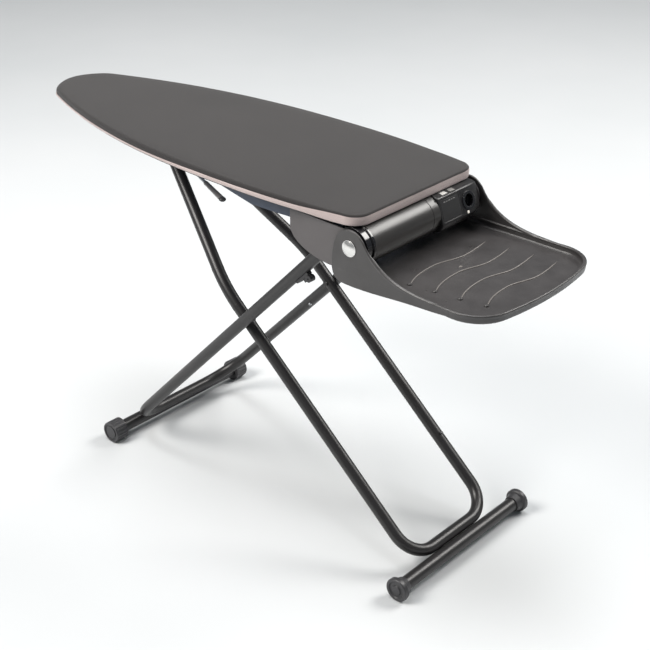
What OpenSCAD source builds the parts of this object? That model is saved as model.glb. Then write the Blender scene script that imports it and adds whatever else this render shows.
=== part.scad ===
// Active ironing board: padded top on an air chamber, fan housing and control box at the rear,
// hinged iron tray, X stand of two tubular legs that folds flat under the top.
// Millimetres. +X points to the tray, -Y is the switch-lever side, +Z up, floor at z = 0.
// Inside the modules x is counted from the rear edge of the ironing top.

/* [Ironing top] */
// length of the ironing surface
board_l = 1200; // [1100:10:1300]
// largest width of the ironing surface
board_w = 468; // [380:2:500]
// height of the ironing surface above the floor
board_h = 897; // [800:1:950]
// depth of the cover's side, hem included
edge_h = 23; // [16:1:30]
// thickness of the woven cover
cover_t = 3; // [1.5:0.5:5]
// thickness of the felt underlay
pad_t = 5.4; // [3:0.2:9]
// sheet thickness of the perforated plate
plate_t = 1.5; // [1:0.1:2.5]

/* [Stand] */
// outer radius of the inner leg's tube
tube_a_r = 15; // [12:0.5:18]
// outer radius of the outer leg's tubes
tube_b_r = 14.5; // [12:0.5:18]
// wall of the leg tubes
tube_wall = 1.6; // [1.2:0.1:3]
// half spacing of the inner leg's tubes
half_a = 146.5; // [120:0.5:160]
// half spacing of the outer leg's tubes
half_b = 183.5; // [165:0.5:190]
// radius of the foot bars
foot_r = 17; // [14:0.5:20]
// radius of the foot caps
cap_r = 29.5; // [24:0.5:34]

/* [Fan housing] */
// radius of the round fan housing
house_r = 46; // [40:1:50]
// radius of the round outlet recess
socket_r = 15; // [12:0.5:17]

/* [Iron tray] */
// outer half width of the tray
tray_hw = 211; // [208:1:216]
// how far the tray reaches behind the ironing top
tray_reach = 354; // [300:2:400]
// radius of the tray's pivot discs
ear_r = 42; // [36:1:46]

/* [Node] */
// which piece to draw

/* [Hidden] */
$fn = 64;
run = 0.06;
gap = 0.3;
hw = board_w / 2;
sx = (board_l - tray_reach) / 2;
// heights of the layers
z_top = board_h;
z_hem = board_h - edge_h;
z_cov = z_top - cover_t - 0.5;
z_pad = z_cov - gap;
z_plate = z_pad - pad_t - gap;
z_plate_lo = z_plate - plate_t;
z_pan = z_plate_lo - gap;
z_pan_nose = 868;
z_pan_rear = 836;
// joint axes in the x-z plane
hub_x = -17;
hub_z = 825;
pb_x = -122;
pb_z = 774;
xp_x = -392.7;
xp_z = 492.6;
sl_x = -773.4;
sl_z = 815;
fb_x = -840;
fa_x = 162;
foot_z = cap_r;
lev_x = -582;
lev_z = 822;
// near end of the round housing
cap_y = -176;
// leg angles above the floor and lengths from the crossing
ang_b = atan2(pb_z - xp_z, pb_x - xp_x);
ang_a = atan2(sl_z - xp_z, xp_x - sl_x);
len_bu = norm([pb_x - xp_x, pb_z - xp_z]);
len_bl = norm([xp_x - fb_x, xp_z - foot_z]);
ang_bl = atan2(xp_z - foot_z, xp_x - fb_x);
len_au = norm([sl_x - xp_x, sl_z - xp_z]);
len_u = 690.7;
u_r = 72;
bend_r = 415;
bend_a = 15.1;
bend_s = 45;
u_rb = 105;
len_ub = len_bl - tube_b_r - foot_r - 0.05;

// ---- shape helpers ----
function flank(t) = hw - 164 * pow(max(0, (830 - t) / 830), 2.3) - 26 * pow(max(0, (t - 860) / 297), 2);
function nose_pts() = [for (i = [0:9]) let (a = i * 10) [60 * (1 - cos(a)), flank(60 * (1 - cos(a))) * sin(a)]];
function side_pts() = [for (i = [1:38]) let (t = 60 + i * (board_l - 42 - 60) / 38) [t, flank(t)]];
function rear_pts() = [for (i = [1:9]) let (a = i * 10)
  [board_l - 42 + 42 * sin(a), flank(board_l - 42) - 42 + 42 * cos(a)]];
function half_pts() = concat(nose_pts(), side_pts(), rear_pts());
function mirror_pts(p) = [for (i = [len(p) - 1:-1:0]) if (p[i][1] > 0.01) [p[i][0], -p[i][1]]];

// outline of the ironing top, drawn in by d all round
module outline(d) {
  kx = (board_l - 2 * d) / board_l;
  ky = (hw - d) / hw;
  p = concat(half_pts(), mirror_pts(half_pts()));
  polygon([for (q = p) [-board_l / 2 + (q[0] - board_l / 2) * kx, q[1] * ky]]);
}

module slab(d, z0, z1) {
  translate([0, 0, z0]) linear_extrude(z1 - z0) outline(d);
}

// prism along Y from an x-z outline
module along_y(y0, y1) {
  translate([0, y1, 0]) rotate([90, 0, 0]) linear_extrude(y1 - y0) children();
}

module rod_y(r, y0, y1) {
  translate([0, y0, 0]) rotate([-90, 0, 0]) cylinder(r = r, h = y1 - y0);
}

module tube_y(r, ri, y0, y1) {
  difference() {
    rod_y(r, y0, y1);
    rod_y(ri, y0 - 1, y1 + 1);
  }
}

module box(x0, x1, y0, y1, z0, z1) {
  translate([x0, y0, z0]) cube([x1 - x0, y1 - y0, z1 - z0]);
}

// leg frames: local +X runs up the leg from the crossing
module on_b() {
  translate([xp_x, 0, xp_z]) rotate([0, -ang_b, 0]) children();
}
module on_bl() {
  translate([xp_x, 0, xp_z]) rotate([0, -ang_bl, 0]) children();
}
module on_a() {
  translate([xp_x, 0, xp_z]) rotate([0, 180 + ang_a, 0]) children();
}

module place() {
  translate([sx, 0, 0]) children();
}

// ---- ironing top ----
module cover() {
  color([0.25, 0.24, 0.24]) place() difference() {
    union() {
      slab(0, z_hem + 15.5, z_top - 3.2);
      slab(1, z_top - 3.2, z_top - 1.4);
      slab(3, z_top - 1.4, z_top);
    }
    slab(cover_t, z_hem - 1, z_cov);
  }
}

module cover_hem() {
  color([0.72, 0.67, 0.66]) place() {
    difference() {
      slab(0, z_hem, z_hem + 15.2);
      slab(cover_t, z_hem - 1, z_hem + 20);
    }
    difference() {
      slab(0.6, z_hem - 1.6, z_hem);
      slab(13, z_hem - 3, z_hem + 1);
    }
  }
}

module pad() {
  color([0.8, 0.78, 0.72]) place() slab(cover_t + 0.5, z_plate + gap, z_pad);
}

module top_plate() {
  color([0.62, 0.63, 0.65]) place() {
    difference() {
      slab(cover_t + 0.5, z_plate_lo, z_plate);
      for (i = [0:17], j = [-2:2])
        if (i > 3 || abs(j) < 2)
          translate([-1110 + i * 60 + (abs(j) % 2) * 30, j * 68, z_plate_lo - 1]) cylinder(r = 5, h = 4, $fn = 24);
    }
    difference() {
      slab(cover_t + 0.5, z_hem + 0.6, z_plate_lo);
      slab(cover_t + 2.2, z_hem - 1, z_plate_lo + 1);
    }
  }
}

// pan: flange under the plate, shallow at the nose, deep at the rear
module pan_side(o) {
  polygon([[-1300, z_pan + o], [-68 - o * 0, z_pan + o], [-68 - o, z_pan_rear + o], [-322 - o * 0.2, z_pan_rear + o],
    [-480 - o * 0.2, z_pan_nose + o], [-1300, z_pan_nose + o]]);
}

module plenum_pan() {
  color([0.24, 0.27, 0.33]) place() difference() {
    intersection() {
      slab(36, z_pan_rear - 5, z_pan);
      along_y(-240, 240) pan_side(0);
    }
    intersection() {
      slab(37.4, z_pan_rear - 5, z_pan + 5);
      along_y(-240, 240) pan_side(1.2);
    }
    box(-75, -60, -110, -30, 842, 860);
  }
}

module guide_rail() {
  color([0.2, 0.2, 0.21]) place() difference() {
    union() {
      box(-1032, -556, -16, 16, 865.6, z_pan_nose - gap);
      box(-1032, -556, -16, -13.6, 797, 866);
      box(-1032, -556, 13.6, 16, 797, 866);
      for (s = [-1, 1], x = [-1032, -590])
        box(x, x + 34, s > 0 ? 15 : -34, s > 0 ? 34 : -15, 865.6, z_pan_nose - gap);
    }
    along_y(-20, 20) {
      polygon([[-1016, 804.6], [-767, 804.6], [-767, 821.6], [-1016, 821.6]]);
      translate([lev_x, lev_z]) circle(r = 4 + run + 0.02);
    }
    along_y(-20, 20) for (i = [0:5]) translate([-990 + i * 66, 845]) circle(r = 7);
  }
}

module bracket_profile() {
  difference() {
    union() {
      polygon(concat([[hub_x, hub_z - 30], [hub_x, 859.5], [-60, 861.5], [-195, 866], [-195, 817]],
        [for (i = [1:9]) let (u = i / 9) [-195 + 130 * pow(u, 1.15), 817 - 52 * sin(90 * pow(u, 0.72))]]));
      translate([hub_x, hub_z]) circle(r = 34.5);
    }
    translate([hub_x, hub_z]) circle(r = 6 + run);
  }
}

module side_bracket(s) {
  y0 = s > 0 ? 200 : -204;
  color([0.42, 0.41, 0.41]) place() {
    along_y(y0, y0 + 4) bracket_profile();
    // bosses reaching in to the side of the pan
    for (b = [[-172, 189.4], [-98, 180.5]])
      translate([b[0], 0, 850]) rod_y(6, s > 0 ? b[1] : -200, s > 0 ? 200 : -b[1]);
    // inner lip along the curved lower edge
    along_y(s > 0 ? 196.8 : -200, s > 0 ? 200 : -196.8)
      polygon([[-195, 866], [-195, 822], [-192.4, 822], [-192.4, 866]]);
  }
}

module hinge_block(s) {
  y0 = s > 0 ? 128 : -148;
  color([0.16, 0.16, 0.17]) place() difference() {
    union() {
      along_y(y0, y0 + 20) union() {
        translate([pb_x, pb_z]) circle(r = 15);
        translate([pb_x - 15, pb_z]) square([30, z_pan_rear - gap - pb_z]);
        translate([pb_x - 30, z_pan_rear - gap - 6]) square([60, 6]);
      }
      for (d = [-1, 1])
        box(pb_x + d * 15 - (d > 0 ? 1 : 9), pb_x + d * 15 + (d > 0 ? 9 : 1), y0 + 10, y0 + 14, 815, 831);
    }
    translate([pb_x, 0, pb_z]) rod_y(8 + run, y0 - 1, y0 + 21);
    for (d = [-23, 23]) translate([pb_x + d, y0 + 5, 820]) cylinder(r = 2.3, h = 30);
  }
}

module hinge_screws() {
  color([0.7, 0.7, 0.72]) place() for (y = [133, -143], d = [-23, 23])
    translate([pb_x + d, y, 825.4]) {
      cylinder(r = 4, h = 4);
      cylinder(r = 2.1, h = 10);
    }
}

module pan_screws() {
  color([0.7, 0.7, 0.72]) place() for (x = [-1015, -573], s = [-1, 1])
    translate([x, s * 26, z_pan_nose - 5.4]) {
      cylinder(r = 4, h = 2.7);
    }
}

module air_duct() {
  color([0.15, 0.15, 0.16]) place() difference() {
    box(-67.7, -48, -112, -28, 840, 862);
    box(-80, -40, -109, -31, 843, 859);
    translate([hub_x, 0, hub_z]) rod_y(house_r + gap, -200, 200);
  }
}

// ---- fan housing ----
module housing_shell() {
  color([0.23, 0.23, 0.24]) place() difference() {
    translate([hub_x, 0, hub_z]) difference() {
      rod_y(house_r, cap_y, 45);
      rod_y(house_r - 2.6, cap_y - 7, 50);
    }
    // air inlet from the duct
    box(-80, -40, -108, -32, 844, 858);
    // exhaust slots underneath
    for (i = [0:8])
      translate([hub_x - 14, -132 + i * 11, 770]) box(-14, 14, 0, 5, 0, 22);
    // parting groove
    translate([hub_x, 0, hub_z]) tube_y(house_r + 2, house_r - 0.8, 20, 21.4);
  }
}

module housing_end_cap() {
  color([0.07, 0.07, 0.08]) place() translate([hub_x, 0, hub_z]) difference() {
    union() {
      rod_y(house_r - 3, -199.6, cap_y - 0.3);
      rod_y(house_r + 0.4, cap_y - 6, cap_y - 0.3);
    }
    rod_y(house_r - 9, -197, cap_y + 3);
    rod_y(12, -201, -190);
  }
}

module fan_motor() {
  color([0.55, 0.56, 0.58]) place() translate([hub_x, 0, hub_z]) {
    difference() {
      union() {
        rod_y(27, -52, 10);
        rod_y(12, -58, -52);
        rod_y(15, 10, 16);
        rod_y(house_r - 2.9, -34, -30);
      }
      for (i = [0:7]) rotate([0, i * 45, 0]) translate([35, 0, 0]) rod_y(5, -36, -28);
      rod_y(4 + run, -60, -46);
    }
  }
}

module fan_impeller() {
  color([0.1, 0.1, 0.11]) place() translate([hub_x, 0, hub_z]) {
    difference() {
      union() {
        rod_y(38, -76, -73);
        rod_y(9, -98, -73);
        tube_y(38, 33, -132, -129);
        for (i = [0:17]) rotate([0, i * 20, 0]) translate([35.5, 0, 0]) rotate([0, 35, 0])
          box(-3, 3, -129.5, -75.5, -0.6, 0.6);
      }
      rod_y(4.01, -140, -70);
    }
  }
}

module fan_shaft() {
  color([0.8, 0.8, 0.82]) place() translate([hub_x, 0, hub_z]) rod_y(4, -100, -46.5);
}

// faceted control box: top facet, sloping front facet, round back
f0 = [0, 870.6];
f1 = [16, 866];
f2 = [36, 806];
fdir = (f2 - f1) / norm(f2 - f1);
fnrm = [-fdir[1], fdir[0]];
function on_face(t, o) = f1 + (f2 - f1) * t + fnrm * o;

module control_profile(o) {
  a0 = 100;
  r = house_r + o;
  polygon(concat(
    [for (i = [0:24]) let (a = a0 + i * (272 - a0) / 24) [hub_x + r * cos(a), hub_z + r * sin(a)]],
    [[8, 782.5 - o], [27 + o, 791 - o], [36 + o, 806], [16 + o, 866 + o * 0.6], [0, 870.6 + o]]));
}

module at_face(t, y) {
  q = on_face(t, 0);
  translate([q[0], y, q[1]]) rotate([0, 90 - atan2(fnrm[1], fnrm[0]), 0]) children();
}

module at_top(y) {
  m = (f0 + f1) / 2;
  translate([m[0], y, m[1]]) rotate([0, atan2(f0[1] - f1[1], f1[0] - f0[0]), 0]) children();
}

module control_box() {
  color([0.15, 0.15, 0.16]) place() difference() {
    along_y(45.4, 196) control_profile(0);
    along_y(48, 193.4) control_profile(-2.6);
    // panel recess
    at_face(0.5, 84) translate([-25, -33, -1]) cube([50, 66, 3]);
    // outlet opening
    at_face(0.5, 148) translate([0, 0, -6]) cylinder(r = 19.3, h = 12);
    // lamp opening
    at_face(0.9, 139) translate([0, 0, -6]) cylinder(r = 2.6, h = 12);
    // rocker openings
    for (y = [76, 104]) at_top(y) translate([-6.2, -9.4, -12]) cube([12.4, 18.8, 20]);
    // opening towards the fan
    translate([hub_x, 0, hub_z]) rod_y(30, 40, 50);
  }
}

module control_panel_plate() {
  color([0.2, 0.2, 0.21]) place() at_face(0.5, 84) translate([0, 0, -0.9]) linear_extrude(1.1)
    union() {
      square([48.8, 58.8], center = true);
      square([42.8, 64.8], center = true);
      for (i = [-1, 1], j = [-1, 1]) translate([i * 21.4, j * 29.4]) circle(r = 3);
    }
}

module control_pcb() {
  color([0.1, 0.32, 0.16]) place() {
    box(-20, -18.4, 58, 180, 795, 855);
    box(-18.4, 0, 70, 96, 815, 840);
    box(-18.4, -6, 110, 124, 800, 814);
    translate([-18.4, 165, 805]) rotate([0, 90, 0]) cylinder(r = 7, h = 14);
  }
}

module socket_insert() {
  color([0.03, 0.03, 0.035]) place() at_face(0.5, 148) difference() {
    union() {
      translate([0, 0, -17]) cylinder(r = 19, h = 17.4);
      translate([0, 0, 0.2]) cylinder(r = 21.5, h = 1.8);
    }
    translate([0, 0, -14]) cylinder(r = socket_r, h = 20);
    for (s = [-1, 1]) translate([0, s * 7, -18]) cylinder(r = 2.2, h = 8, $fn = 32);
  }
}

module indicator_lamp() {
  color([0.95, 0.9, 0.8]) place() at_face(0.9, 139) {
    translate([0, 0, -3]) cylinder(r = 2.4, h = 3.4);
    translate([0, 0, 0.3]) cylinder(r = 3.4, h = 0.9);
  }
}

module rocker(y) {
  color([0.82, 0.82, 0.8]) place() at_top(y) difference() {
    union() {
      along_y(-8.8, 8.8) polygon([[-5, -5], [5, -5], [5, 2.6], [0, 1.4], [-5, 0.8]]);
      translate([0, 0, -3.5]) rod_y(3.6, -8.8, 8.8);
    }
    translate([0, 0, -3.5]) rod_y(1.2, -10, 10);
  }
}
module rocker_mode() {
  rocker(76);
}
module rocker_power() {
  rocker(104);
}

// ---- tray pivots ----
module hub_pin(s) {
  color([0.75, 0.75, 0.77]) place() translate([hub_x, 0, hub_z]) {
    rod_y(6, s > 0 ? 196.6 : -211.6, s > 0 ? 211.6 : -196.6);
    rod_y(11, s > 0 ? 196.6 : -199.7, s > 0 ? 199.7 : -196.6);
  }
}
module hub_cap(s) {
  color([0.86, 0.86, 0.86]) place() translate([hub_x, s * 211.5, hub_z]) rotate([s > 0 ? -90 : 90, 0, 0])
    rotate_extrude() difference() {
      union() {
        intersection() {
          translate([0, -33.5]) circle(r = 39, $fn = 160);
          square([18.6, 7]);
        }
        square([18.6, 1.2]);
      }
      square([6.1, 0.3]);
    }
}

// ---- iron tray ----
function tray_pts(d) = let (r = 85 - d, w = tray_hw - d, cx = tray_reach - 96, bow = 800) concat(
  [[tray_back - (d > 0 ? 10 : 0), w]],
  [for (i = [0:9]) let (a = 90 - i * 8.85) [cx + r * cos(a), w - r + r * sin(a)]],
  [for (i = [0:12]) let (y = 138 - i * 23) [tray_reach - d - y * y / (2 * bow), y]],
  [for (i = [9:-1:0]) let (a = 90 - i * 8.85) [cx + r * cos(a), -(w - r + r * sin(a))]],
  [[tray_back - (d > 0 ? 10 : 0), -w]]);

z_floor = 755;
z_rim = 772;
// rear end of the tray floor under the housing
tray_back = -47;
// ear: pivot disc, straight front, curved top edge running down to the rim, sloping lower edge
module ear_profile() {
  difference() {
    union() {
      translate([hub_x, hub_z]) circle(r = ear_r, $fn = 96);
      polygon(concat([[hub_x - ear_r + 2, 838], [hub_x - ear_r - 4, 814], [-66.5, 794], [-67.5, 776], [-65, 759],
        [-58.5, 746], [-49, 740], [-34, 737.5], [-10, 737], [56, 740.5], [110, 745.5], [170, 750], [250, z_floor - 3],
        [250, z_rim - 0.5]],
        [for (i = [0:16]) let (u = i / 16)
          [pow(1 - u, 2) * 178 + 2 * u * (1 - u) * 62 + u * u * 17,
           pow(1 - u, 2) * z_rim + 2 * u * (1 - u) * (z_rim + 3) + u * u * 850]],
        [[hub_x, hub_z]]));
    }
    translate([hub_x, hub_z]) circle(r = 6 + run);
  }
}

module tray() {
  color([0.16, 0.16, 0.165]) place() {
    difference() {
      translate([0, 0, z_floor - 3]) linear_extrude(z_rim - z_floor + 3) polygon(tray_pts(0));
      translate([0, 0, z_floor]) linear_extrude(30) polygon(tray_pts(4.5));
      box(-60, 60, -300, -206.2, 700, z_rim + 2);
      box(-60, 60, 206.2, 300, 700, z_rim + 2);
    }
    // rolled rim
    difference() {
      translate([0, 0, z_rim - 4]) linear_extrude(4) polygon(tray_pts(0));
      translate([0, 0, z_rim - 6]) linear_extrude(9) polygon(tray_pts(6.5));
    }
    // foot of the wall inside
    difference() {
      translate([0, 0, z_floor - 0.5]) linear_extrude(4) polygon(tray_pts(3));
      translate([0, 0, z_floor - 2]) linear_extrude(9) polygon(tray_pts(9));
      box(-70, 62, -300, 300, z_floor - 2, z_floor + 5);
    }
    along_y(-tray_hw, -tray_hw + 5.4) ear_profile();
    along_y(tray_hw - 5.4, tray_hw) ear_profile();
    // stiffening ribs under the floor
    for (y = [-120, -60, 0, 60, 120]) box(-20, 290, y - 1.5, y + 1.5, 748, z_floor - 2.5);
  }
}

// S curve of one raised rib: offset from its own x position
function rib_phase(u) = u < 0.34 ? 180 * sqrt(u / 0.34) : u < 0.68 ? 360 * u / 0.68 : 360 * (u - 0.68) / 1.25;
function rib_x(u) = 1.5 + 9.5 * cos(rib_phase(u));
rib_at = [86, 146, 206, 265];
rib_y0 = [-142, -132, -124, -113];
rib_y1 = [138, 146, 153, 156];

module tray_ribs() {
  color([0.3, 0.3, 0.3]) place() for (k = [0:3])
    translate([rib_at[k], 0, z_floor + 0.1]) linear_extrude(1.9) {
      n = 30;
      c = [for (i = [0:n]) [rib_x(i / n), rib_y0[k] + (rib_y1[k] - rib_y0[k]) * i / n]];
      polygon(concat([for (q = c) [q[0] - 1, q[1]]], [for (i = [n:-1:0]) [c[i][0] + 1, c[i][1]]]));
    }
}
module tray_nubs() {
  color([0.12, 0.12, 0.12]) place() for (k = [0:3])
    translate([rib_at[k] + 12, rib_y0[k] - 6, z_floor + 0.1]) {
      cylinder(r1 = 5, r2 = 3.8, h = 3.6, $fn = 40);
    }
}
module tray_rivet() {
  color([0.7, 0.7, 0.72]) place() translate([125, -5, z_floor + 0.1]) cylinder(r1 = 4, r2 = 3, h = 1.4, $fn = 40);
}

// ---- outer leg ----
// one tube bent to a U whose lower run lies on the foot bar
module path_b(r, e) {
  translate([-len_ub, 0, 0]) rod_y(r, -(half_b - u_rb), half_b - u_rb);
  for (m = [0, 1]) mirror([0, m, 0]) {
    translate([-len_ub + u_rb, half_b - u_rb, 0]) rotate([0, 0, 90]) rotate_extrude(angle = 90)
      translate([u_rb, 0]) circle(r = r);
    translate([-len_ub + u_rb, half_b, 0]) rotate([0, 90, 0])
      cylinder(r = r, h = len_ub - u_rb + len_bu + 12 + e);
  }
}

module leg_b_frame() {
  color([0.12, 0.12, 0.13]) place() on_b() difference() {
    path_b(tube_b_r, 0);
    path_b(tube_b_r - tube_wall, 20);
    for (m = [0, 1]) mirror([0, m, 0]) {
      translate([len_bu, 0, 0]) rod_y(8.03, 160, 184);
      rod_y(4.03, 160, 184);
    }
  }
}

module leg_b_cross_rod() {
  color([0.5, 0.5, 0.52]) place() translate([pb_x, 0, pb_z]) rod_y(8, -half_b + 0.4, half_b - 0.4);
}

module leg_b_plugs() {
  color([0.07, 0.07, 0.07]) place() for (s = [-1, 1]) translate([0, s * half_b, 0]) on_b() rotate([0, 90, 0])
    translate([0, 0, len_bu + 12.2]) {
      cylinder(r = tube_b_r - 0.2, h = 1.8);
      translate([0, 0, -3.4]) cylinder(r = tube_b_r - tube_wall - 0.1, h = 4);
    }
}

module foot_bar_b() {
  color([0.12, 0.12, 0.13]) place() translate([fb_x, 0, foot_z]) tube_y(foot_r, foot_r - 1.8, -238, 238);
}

// ribbed cylindrical foot cap
module foot_cap_b(s) {
  color([0.07, 0.07, 0.075]) place() translate([fb_x, 0, foot_z]) mirror([0, s > 0 ? 0 : 1, 0]) difference() {
    union() {
      rod_y(cap_r - 0.9, 209, 247);
      rod_y(cap_r, 209, 213);
      for (i = [0:23]) rotate([0, i * 15, 0]) translate([cap_r - 2.4, 0, 0]) rod_y(2.4, 212, 243.5, $fn = 24);
    }
    rod_y(foot_r + 0.05, 205, 240);
    tube_y(cap_r - 6, cap_r - 12, 244.6, 248);
  }
}

// hook block under the near tube that holds the folded inner leg
module leg_catch() {
  color([0.05, 0.05, 0.055]) place() translate([0, -half_b, 0]) on_b() difference() {
    union() {
      box(280, 322, -7, 7, -20, -4);
      translate([280, 0, -13.2]) rod_y(6.8, -7, 7);
      translate([315, 0, -28]) rod_y(8, -8, 8);
      box(298, 321, -5.5, 5.5, -29, -13);
    }
    rotate([0, 90, 0]) translate([0, 0, 260]) cylinder(r = tube_b_r + 0.05, h = 100);
    translate([327, 0, -23]) rod_y(5, -10, 10);
    translate([315, 0, -28]) rod_y(2.2, -10, -5.8);
  }
}

module tube_rivets() {
  color([0.8, 0.8, 0.8]) place() on_b() for (m = [0, 1]) mirror([0, m, 0])
    translate([-140, half_b, 0]) rotate([30, 0, 0]) translate([0, -tube_b_r - 0.05, 0]) rotate([90, 0, 0]) difference() {
      cylinder(r1 = 4.6, r2 = 3.6, h = 2.2, $fn = 40);
      translate([0, 0, 1.2]) cylinder(r = 1.8, h = 3, $fn = 32);
    }
}

module pivot_bolts() {
  color([0.7, 0.7, 0.72]) place() translate([xp_x, 0, xp_z]) for (s = [0, 1]) mirror([0, s, 0]) {
    rod_y(4, 128, 182);
    rod_y(6.4, 172.7, 176);
    rod_y(6.4, 128, 130.9);
  }
}

module pivot_spacers() {
  color([0.06, 0.06, 0.06]) place() translate([xp_x, 0, xp_z]) for (s = [0, 1]) mirror([0, s, 0])
    tube_y(9, 4.05, half_a + tube_a_r + 0.3, half_b - tube_b_r - 0.3);
}

// ---- inner leg: one tube bent to a U below and drawn together above ----
module path_a(r) {
  // bottom of the U
  translate([-len_u, 0, 0]) rod_y(r, -(half_a - u_r), half_a - u_r);
  for (m = [0, 1]) mirror([0, m, 0]) {
    translate([-len_u + u_r, half_a - u_r, 0]) rotate([0, 0, 90]) rotate_extrude(angle = 90) translate([u_r, 0]) circle(r = r);
    translate([-len_u + u_r, half_a, 0]) rotate([0, 90, 0]) cylinder(r = r, h = bend_s + len_u - u_r);
    translate([bend_s, half_a - bend_r, 0]) rotate([0, 0, 90]) rotate_extrude(angle = -bend_a, $fn = 128)
      translate([bend_r, 0]) circle(r = r);
    translate([bend_s, half_a - bend_r, 0]) rotate([0, 0, -bend_a]) translate([0, bend_r, 0]) rotate([0, 90, 0])
      cylinder(r = r, h = (len_au + 14 - bend_s - bend_r * sin(bend_a)) / cos(bend_a));
  }
}

module leg_a_frame() {
  color([0.12, 0.12, 0.13]) place() on_a() difference() {
    union() {
      path_a(tube_a_r);
      for (m = [0, 1]) mirror([0, m, 0])
        for (k = [0, 1]) translate([bend_s, half_a - bend_r, 0]) rotate([0, 0, -k * bend_a])
          translate([-4, bend_r, 0]) rotate([0, 90, 0]) cylinder(r = tube_a_r + 0.3, h = 8);
    }
    path_a(tube_a_r - tube_wall);
    // open the upper ends
    for (m = [0, 1]) mirror([0, m, 0])
      translate([bend_s, half_a - bend_r, 0]) rotate([0, 0, -bend_a]) translate([300, bend_r, 0]) rotate([0, 90, 0])
        cylinder(r = tube_a_r - tube_wall, h = 260);
    rod_y(4 + run, -200, 200);
    translate([len_au, 0, 0]) rod_y(6.03, -80, 80);
  }
}

module leg_a_plugs() {
  color([0.07, 0.07, 0.07]) place() on_a() for (m = [0, 1]) mirror([0, m, 0])
    translate([bend_s, half_a - bend_r, 0]) rotate([0, 0, -bend_a]) translate([0, bend_r, 0]) rotate([0, 90, 0])
      translate([0, 0, (len_au + 14 - bend_s - bend_r * sin(bend_a)) / cos(bend_a) + 0.2]) {
        cylinder(r = tube_a_r - 0.2, h = 1.8);
        translate([0, 0, -3.4]) cylinder(r = tube_a_r - tube_wall - 0.1, h = 4);
      }
}

// rubber stud on the far tube that keeps the folded legs apart
module leg_stud() {
  color([0.07, 0.07, 0.07]) place() on_a() translate([-478, half_a, -tube_a_r - 0.05]) rotate([180, 0, 0])
    cylinder(r1 = 4.4, r2 = 3.6, h = 4);
}

module slider_pin() {
  color([0.75, 0.75, 0.77]) place() translate([sl_x, 0, sl_z]) rod_y(6, -58, 58);
}

module slider_rollers() {
  color([0.85, 0.85, 0.82]) place() translate([sl_x, 0, sl_z]) for (s = [0, 1]) mirror([0, s, 0])
    tube_y(9.5, 6.05, 5.5, 12.8);
}

module foot_bar_a() {
  color([0.12, 0.12, 0.13]) place() translate([fa_x, 0, foot_z]) tube_y(foot_r, foot_r - 1.8, -236, 236);
}

// flanged disc foot cap with a tapered collar
module foot_cap_a(s) {
  color([0.07, 0.07, 0.075]) place() translate([fa_x, 0, foot_z]) mirror([0, s > 0 ? 0 : 1, 0]) rotate([-90, 0, 0])
    rotate_extrude($fn = 96) polygon([[foot_r + 0.05, 212], [20, 212], [24, 228], [27, 229], [cap_r, 231.5], [cap_r, 241],
      [28, 243], [22, 243], [20, 240], [13, 240], [11, 243.5], [0, 243.5], [0, 238], [foot_r + 0.05, 238]]);
}

// ---- height lever ----
h1 = [lev_x, -127];
h2 = [-406, -202];
hlen = norm(h2 - h1);
hang = atan2(h2[1] - h1[1], h2[0] - h1[0]);
module lever_rod() {
  color([0.75, 0.76, 0.78]) place() translate([0, 0, lev_z]) {
    translate([lev_x, 0, 0]) rod_y(4, h1[1], 24);
    translate([h1[0], h1[1], -4.5]) cylinder(r = 5, h = 9);
    translate([h1[0], h1[1], 0]) rotate([0, 0, hang]) rotate([0, 90, 0]) cylinder(r = 4, h = hlen - 6);
  }
}
module lever_grip() {
  color([0.45, 0.46, 0.47]) place() translate([h1[0], h1[1], lev_z]) rotate([0, 0, hang]) rotate([0, 90, 0])
    difference() {
      union() {
        translate([0, 0, hlen - 118]) cylinder(r1 = 5.6, r2 = 6.6, h = 111);
        translate([0, 0, hlen - 8]) cylinder(r = 7.2, h = 8);
      }
      translate([0, 0, hlen - 120]) cylinder(r = 4.03, h = 114.1);
    }
}
module lever_bearings() {
  color([0.1, 0.1, 0.1]) place() translate([lev_x, 0, lev_z]) for (s = [0, 1]) mirror([0, s, 0])
    tube_y(8, 4 + run, 16.2, 22);
}
module lock_rack() {
  color([0.55, 0.56, 0.58]) place() along_y(-2.5, 2.5) difference() {
    union() {
      translate([lev_x, lev_z]) circle(r = 10);
      polygon([[lev_x + 4, lev_z - 9], [lev_x - 8, lev_z + 6], [lev_x - 26, 806], [-742, 805], [-1012, 804], [-1012, 784],
        [lev_x - 30, 784]]);
    }
    translate([lev_x, lev_z]) circle(r = 4.02);
    for (i = [0:5]) translate([sl_x - i * 42, 804.4]) circle(r = 7, $fn = 40);
  }
}
module lever_spring() {
  color([0.8, 0.8, 0.82]) place() translate([lev_x, 0, lev_z]) for (i = [0:4])
    translate([0, -25 - i * 2.6, 0]) rotate([90, 0, 0]) rotate_extrude() translate([5.6, 0]) circle(r = 1.1, $fn = 24);
}

cover();
cover_hem();
pad();
top_plate();
plenum_pan();
guide_rail();
side_bracket(-1);  // side_bracket_l
side_bracket(1);  // side_bracket_r
hinge_block(-1);  // hinge_block_l
hinge_block(1);  // hinge_block_r
air_duct();
housing_shell();
housing_end_cap();
fan_motor();
control_box();
control_panel_plate();
control_pcb();
socket_insert();
indicator_lamp();
pan_screws();
hinge_screws();
hub_pin(-1);  // hub_pin_l
hub_pin(1);  // hub_pin_r
hub_cap(-1);  // hub_cap_l
hub_cap(1);  // hub_cap_r
lever_bearings();
fan_impeller();
fan_shaft();
rocker_mode();
rocker_power();
tray();
tray_ribs();
tray_nubs();
tray_rivet();
leg_b_frame();
leg_b_cross_rod();
leg_b_plugs();
foot_bar_b();
foot_cap_b(-1);  // foot_cap_b_l
foot_cap_b(1);  // foot_cap_b_r
leg_catch();
tube_rivets();
pivot_bolts();
pivot_spacers();
leg_a_frame();
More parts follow.
